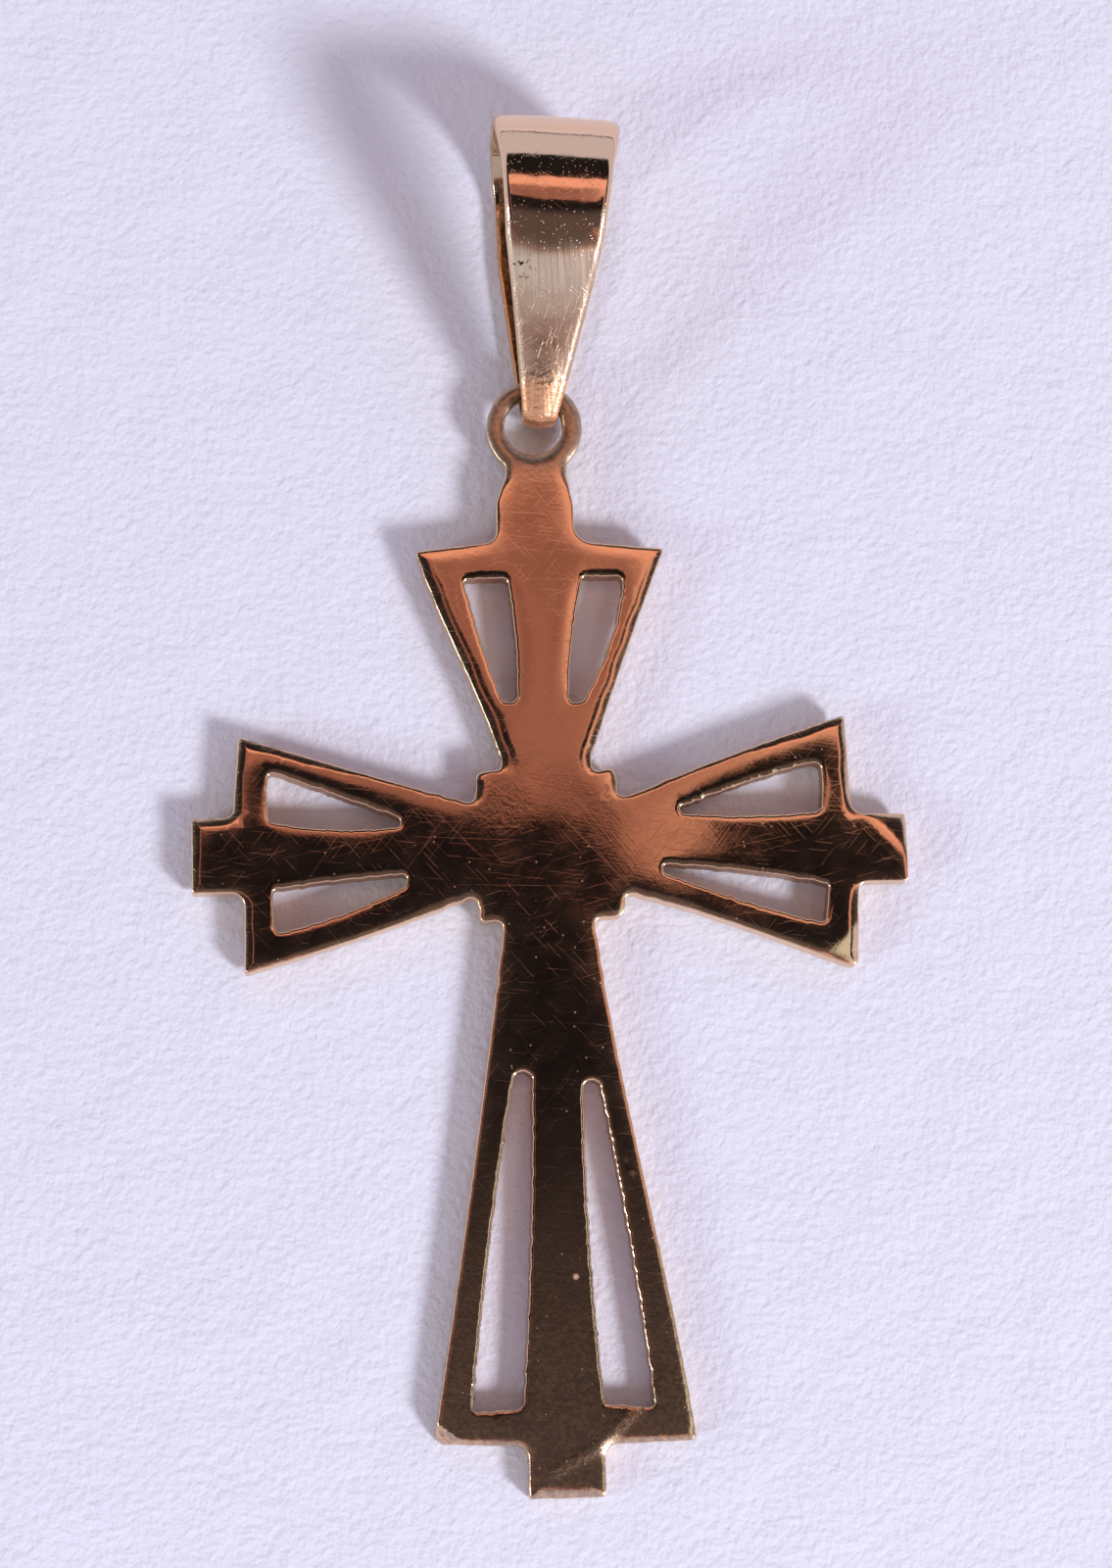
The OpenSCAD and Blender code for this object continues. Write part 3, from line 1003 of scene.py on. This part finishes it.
def streaks(tree, place, angle_deg, scale, length):
    """Fine lines left by a polishing cloth, all in one direction."""
    return noise(tree, turned(tree, place, angle_deg), scale, 2.0, 0.5, (1 / length, 1.0, 1.0))


def flattened(tree, place):
    """The same place with its height taken off."""
    return vector_maths(tree, "MULTIPLY", place, (1, 1, 0))


def near_point(tree, place, point, reach):
    """1 at a point, fading to 0 at a distance from it."""
    away = node(tree, "ShaderNodeVectorMath", {0: place, 1: point}, operation="DISTANCE").outputs["Value"]
    return ramp(tree, away, 0.0, reach, 1.0, 0.0)


def relief(tree, height):
    """Bump from a height in millimetres."""
    return node(tree, "ShaderNodeBump", {"Height": height, "Distance": MM, "Strength": 1.0}).outputs[0]


def metal(name, find_marks, find_relief, find_wear, find_colour):
    """A metal from the functions that build its marks, relief, wear and colour."""
    made, tree, shader = material(name, inputs={"Metallic": 1.0})
    marks = find_marks(tree)
    tree.links.new(find_relief(tree, marks), shader.inputs["Normal"])
    tree.links.new(find_wear(tree, marks), shader.inputs["Roughness"])
    tree.links.new(find_colour(tree, marks), shader.inputs["Base Color"])
    return made


def plate_marks(tree):
    """What the plate's relief, wear and colour have in common."""
    place = millimetres(tree)
    marks = SimpleNamespace(
        sawn=attribute(tree, "sawn"),
        deep=scratch_families(tree, place, LONG_SCRATCHES, 0.012, 0.4),
        fine=scratch_families(tree, place, FINE_SCRATCHES, 0.007, 0.6),
        dots=specks(tree, place, 0.33, 0.036, 0.35),
        cloth=together(tree, (streaks(tree, place, turn, 14.0, 18.0) for turn in CLOTH_LINES_DEG)),
        dull=attribute(tree, "dull"),
        foot=attribute(tree, "foot"),
        grain=noise(tree, place, 5.0, 4.0, 0.65),
        haze=noise(tree, place, 0.9, 5.0, 0.7),
        teeth=noise(tree, place, 7.0, 3.0, 0.7, (1.0, 1.0, 0.25)),
        # Walls of the windows, for their painted shade
        slot=attribute(tree, "slot"),
        rim=attribute(tree, "rim"),
        smear=attribute(tree, "smear"),
        everywhere=1.0,
    )
    level = flattened(tree, place)
    marks.crumpled = near_point(tree, level, *CRUMPLED)
    marks.pit = near_point(tree, level, *PIT)
    return marks


def plate_relief(tree, marks):
    height = summed(tree, marks, PLATE_RELIEF)
    cloth_depth = times(tree, marks.foot, 0.0022, 0.0005)
    height = times(tree, marks.cloth, cloth_depth, height)
    height = times(tree, times(tree, marks.teeth, marks.sawn), 0.03, height)
    grain_depth = summed(tree, marks, PLATE_GRAIN)
    return relief(tree, times(tree, marks.grain, grain_depth, height))


def plate_wear(tree, marks):
    marks.polish = ramp(tree, marks.haze, 0.35, 0.7, 0.045, 0.10)
    return times(tree, marks.sawn, 0.28, summed(tree, marks, PLATE_WEAR))


def plate_colour(tree, marks):
    brown = times(tree, marks.dull, ramp(tree, marks.grain, 0.35, 0.6, 1.0, 0.6))
    mottled = summed(tree, marks, dict(haze=0.4, grain=0.6))
    tarnish = times(tree, marks.foot, ramp(tree, mottled, 0.42, 0.58))
    # Painted shade on the windows' walls
    tint = blend(tree, marks.sawn, GOLD, blend(tree, marks.slot, SAWN_GOLD, SLOT_PAINTED_SHADE))
    tint = blend(tree, tarnish, tint, TARNISH)
    return blend(tree, brown, tint, RING_BROWN)


def bail_marks(tree):
    """What the bail's relief, wear and colour have in common."""
    place = millimetres(tree)
    leg = attribute(tree, "leg")

    def past(start, end, scale):
        return ramp(tree, maths(tree, "ADD", leg, noise(tree, place, scale, 3.0)), start, end)

    brushed, scored, worn_tip = past(6.7, 5.9, 1.2), past(5.5, 4.0, 2.0), past(2.1, 1.7, 2.0)
    level = flattened(tree, place)
    marks = SimpleNamespace(
        brushed=brushed,
        scored=scored,
        worn_tip=worn_tip,
        scratches=scratches(tree, level, 0.9, 0.014, 0.6),
        hairs=scratch_families(tree, level, BAIL_SCRATCHES, 0.008, 0.7),
        dots=specks(tree, level, 0.115, 0.024, 0.65),
        lines=streaks(tree, level, 86, 9.0, 22.0),
        # The strap's inner face, for the painted shade inside the loop
        inside=attribute(tree, "inside"),
        wrinkles=noise(tree, place, 3.0, 4.0, 0.6, (0.5, 2.2, 1.0)),
        busy=times(tree, scored, 0.85, 0.15),
        dented=noise(tree, place, 1.5, 1.0),
        uneven=noise(tree, place, 0.8, 3.0),
        everywhere=1.0,
    )
    chips = scratches(tree, level, 0.20, 0.05, 1.0)
    marks.pits = times(tree, chips, near_point(tree, level, *BAIL_CHIPS))
    return marks


def bail_relief(tree, marks):
    fine = summed(tree, marks, dict(scratches=-0.0080, hairs=-0.0060))
    marks.combing = times(tree, marks.lines, marks.brushed)
    marks.crumpling = times(tree, marks.wrinkles, marks.worn_tip)
    return relief(tree, summed(tree, marks, BAIL_RELIEF, times(tree, fine, marks.busy)))


def bail_wear(tree, marks):
    rubbed = summed(tree, marks, dict(scratches=0.25, hairs=0.28))
    marks.rubbed = times(tree, rubbed, marks.busy)
    return summed(tree, marks, BAIL_WEAR)


def bail_colour(tree, marks):
    brushed = marks.brushed
    combed = times(tree, brushed, ramp(tree, marks.lines, 0.35, 0.70))
    colour = blend(tree, brushed, BAIL_GOLD, BRUSHED_GOLD)
    colour = blend(tree, combed, colour, SCORED_GOLD)
    colour = blend(tree, marks.scored, colour, blend(tree, marks.hairs, SCORED_GOLD, BAIL_GOLD))
    colour = blend(tree, marks.worn_tip, colour, WORN_GOLD)
    # Painted shade on the strap's inner face, inside the loop
    colour = blend(tree, marks.inside, colour, INSIDE_PAINTED_SHADE)
    return blend(tree, maths(tree, "MULTIPLY", marks.pits, 3.0, clamp=True), colour, DARK)


def floor_paper():
    values = {"Base Color": (*FLOOR_COLOUR, 1.0), "Roughness": 0.9, "Specular IOR Level": 0.1}
    made, tree, shader = material("paper", inputs=values)
    place = millimetres(tree)
    marks = SimpleNamespace(tooth=noise(tree, place, 3.2), creases=noise(tree, place, 0.35, 4.0))
    bump = relief(tree, summed(tree, marks, dict(tooth=0.068, creases=0.14)))
    tree.links.new(bump, shader.inputs["Normal"])
    return made


# Surroundings


def card(name, outline, height, coating, seen=False):
    """A level sheet. Unless it is seen, the camera misses it and it casts no shadow."""
    mesh = bpy.data.meshes.new(name)
    points = [(x * MM, y * MM, height * MM) for x, y in outline]
    mesh.from_pydata(points, [], [tuple(range(len(points)))])
    mesh.materials.append(coating)
    made = put(name, mesh)
    made.visible_camera = seen
    made.visible_shadow = seen


def oblong(x0, x1, y0, y1):
    return [(x0, y0), (x1, y0), (x1, y1), (x0, y1)]


def glow(name, colour):
    return material(name, "ShaderNodeEmission", {"Color": (*colour, 1.0), "Strength": 1.0})


def blend(tree, share, low, high):
    """Mix of two colours, each a constant or a socket."""
    values = {"Factor": share}
    for key, colour in (("A", low), ("B", high)):
        values[key] = colour if isinstance(colour, bpy.types.NodeSocket) else (*colour, 1.0)
    mix = node(tree, "ShaderNodeMix", values, data_type="RGBA")
    return [out for out in mix.outputs if out.type == "RGBA" and out.enabled][0]


def ceiling_glow():
    """A dark middle in a warm frame."""
    made, tree, shader = glow("warm_ceiling", WARM)
    x, y, _ = node(tree, "ShaderNodeSeparateXYZ", {"Vector": millimetres(tree)}).outputs
    middle = maths(tree, "ADD", ramp(tree, x, -8, 2, 10.9, 7.9), ramp(tree, x, 7.5, 12, 0.0, -6.0))
    middle = maths(tree, "ADD", middle, ramp(tree, x, 14.9, 17.6, 0.0, 11.4))
    warm = ramp(tree, maths(tree, "SUBTRACT", y, middle), -1.1, 1.1)
    sides = [ramp(tree, x, 46, 50), ramp(tree, x, -40, -44), ramp(tree, y, -74, -78)]
    for side in sides:
        warm = maths(tree, "MAXIMUM", warm, side)
    dark = blend(tree, ramp(tree, y, -10, -38), DARK, LOW_DARK)
    clouds = noise(tree, millimetres(tree), 0.10, 2.0, 0.5, (1.0, 0.3, 1.0))
    warm_colour = blend(tree, ramp(tree, clouds, 0.35, 0.65), WARM_SHADE, WARM)
    warm_colour = blend(tree, ramp(tree, x, 8, 20), warm_colour, WARM_RIGHT)
    warm_colour = blend(tree, ramp(tree, y, 27, 33), warm_colour, WARM_TOP)
    tree.links.new(blend(tree, warm, dark, warm_colour), shader.inputs["Color"])
    return made


def lamp(name, toward, distance, size, power, colour):
    data = bpy.data.lights.new(name, "AREA")
    data.shape = "DISK"
    data.size = size * MM
    data.energy = power
    data.color = colour
    made = put(name, data)
    direction = Vector(toward).normalized()
    made.location = direction * distance * MM
    made.rotation_euler = direction.to_track_quat("Z", "Y").to_euler()


def build_world():
    world = bpy.data.worlds.new("room")
    bpy.context.scene.world = world
    world.use_nodes = True
    tree = world.node_tree
    tree.nodes.clear()
    path = node(tree, "ShaderNodeLightPath").outputs
    direction = node(tree, "ShaderNodeTexCoord").outputs["Generated"]
    up = node(tree, "ShaderNodeSeparateXYZ", {"Vector": direction}).outputs[2]
    walls = blend(tree, ramp(tree, up, 0.02, 0.06), HORIZON, WALLS)
    soft_light = blend(tree, ramp(tree, up, 0.10, 0.50), HORIZON, AMBIENT)
    shown = blend(tree, path["Is Diffuse Ray"], walls, soft_light)
    shown = blend(tree, path["Is Camera Ray"], shown, BACKDROP)
    ground = node(tree, "ShaderNodeBackground", {"Color": shown, "Strength": 1.0})
    node(tree, "ShaderNodeOutputWorld", {"Surface": ground.outputs[0]})


def build_surroundings():
    build_world()
    turn = np.linspace(-ARCH_PAST, pi + ARCH_PAST, 49)
    arch = [(ARCH_RADIUS * cos(a), ARCH_RADIUS * sin(a)) for a in turn]
    card("dark_ceiling", arch, ARCH_HEIGHT, glow("dark_ceiling", DARK)[0])
    card("warm_ceiling", oblong(*WARM_CARD), WARM_HEIGHT, ceiling_glow())
    card("pale_screen", PALE_SCREEN, PALE_HEIGHT, glow("pale_screen", OLIVE)[0])
    lamp("key", *KEY_LAMP)
    lamp("fill", *FILL_LAMP)
    card("floor", oblong(*FLOOR), FLOOR_HEIGHT, floor_paper(), seen=True)


def build_camera():
    eye, aim, up = (Vector(v) for v in (PHOTO_EYE, PHOTO_AIM, PHOTO_UP))
    back = (eye - aim).normalized()
    right = up.cross(back).normalized()
    data = bpy.data.cameras.new("camera")
    data.sensor_fit = "VERTICAL"
    data.sensor_height = 24.0
    data.lens = 12.0 / tan(radians(PHOTO_FOV_DEG) / 2)
    data.clip_start = 0.005
    camera = put("camera", data)
    facing = Matrix((right, back.cross(right), back)).transposed().to_4x4()
    camera.matrix_world = Matrix.Translation(eye * MM) @ facing
    bpy.context.scene.camera = camera


def build_pieces():
    scratch_group()
    cross = build_cross()
    cross.data.materials.append(metal("plate_gold", plate_marks, plate_relief, plate_wear, plate_colour))
    bail = build_bail()
    bail.data.materials.append(metal("bail_gold", bail_marks, bail_relief, bail_wear, bail_colour))
    for piece, replaced, slot in ((cross, "cross", "plate_gold"), (bail, "bail", "bail_gold")):
        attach(piece, "root")
        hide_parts(replaced)


build_camera()
build_surroundings()
build_pieces()
bpy.context.scene.view_settings.view_transform = "Standard"
